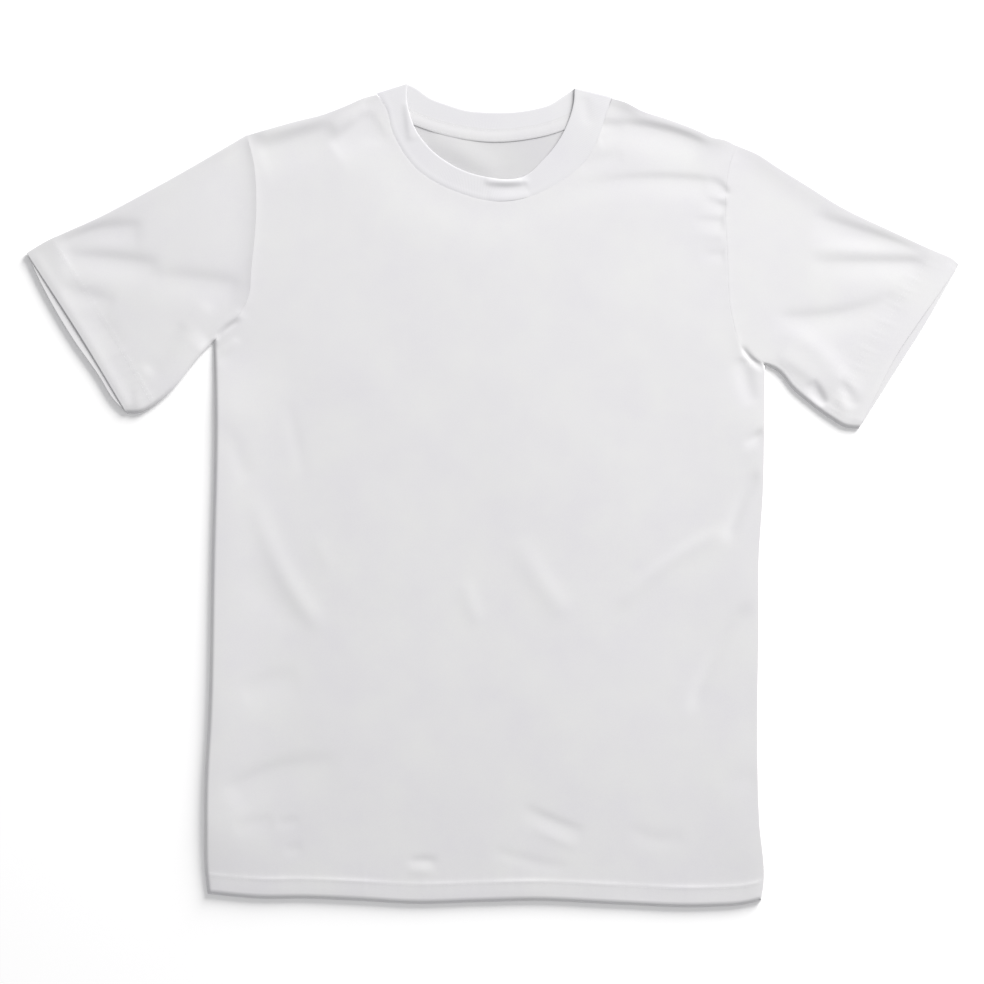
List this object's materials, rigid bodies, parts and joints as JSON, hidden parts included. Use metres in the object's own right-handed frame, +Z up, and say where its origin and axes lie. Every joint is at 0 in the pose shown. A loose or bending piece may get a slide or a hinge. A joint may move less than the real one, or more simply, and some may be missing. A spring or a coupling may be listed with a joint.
{
  "type": "crew neck t-shirt",
  "caption": "Short-sleeved crew neck t-shirt with a doubled rib neckband, laid flat face up with its sleeves spread.",
  "frame": {"origin": "on the surface that the shirt lies on, under the middle of its outline", "axes": "+X points to the wearer's left sleeve, +Y to the neck, +Z up out of the front of the shirt"},
  "size_m": [0.857, 0.7558, 0.0062],
  "materials": {
    "jersey": "white cotton single jersey, matt",
    "rib": "white cotton rib knit, matt",
    "tape": "white cotton jersey tape, matt"
  },
  "bodies": {
    "root": {"front": "jersey", "back": "jersey", "sleeve_left": "jersey", "sleeve_right": "jersey", "neckband": "rib", "neck_tape": "tape"}
  },
  "joints": []
}
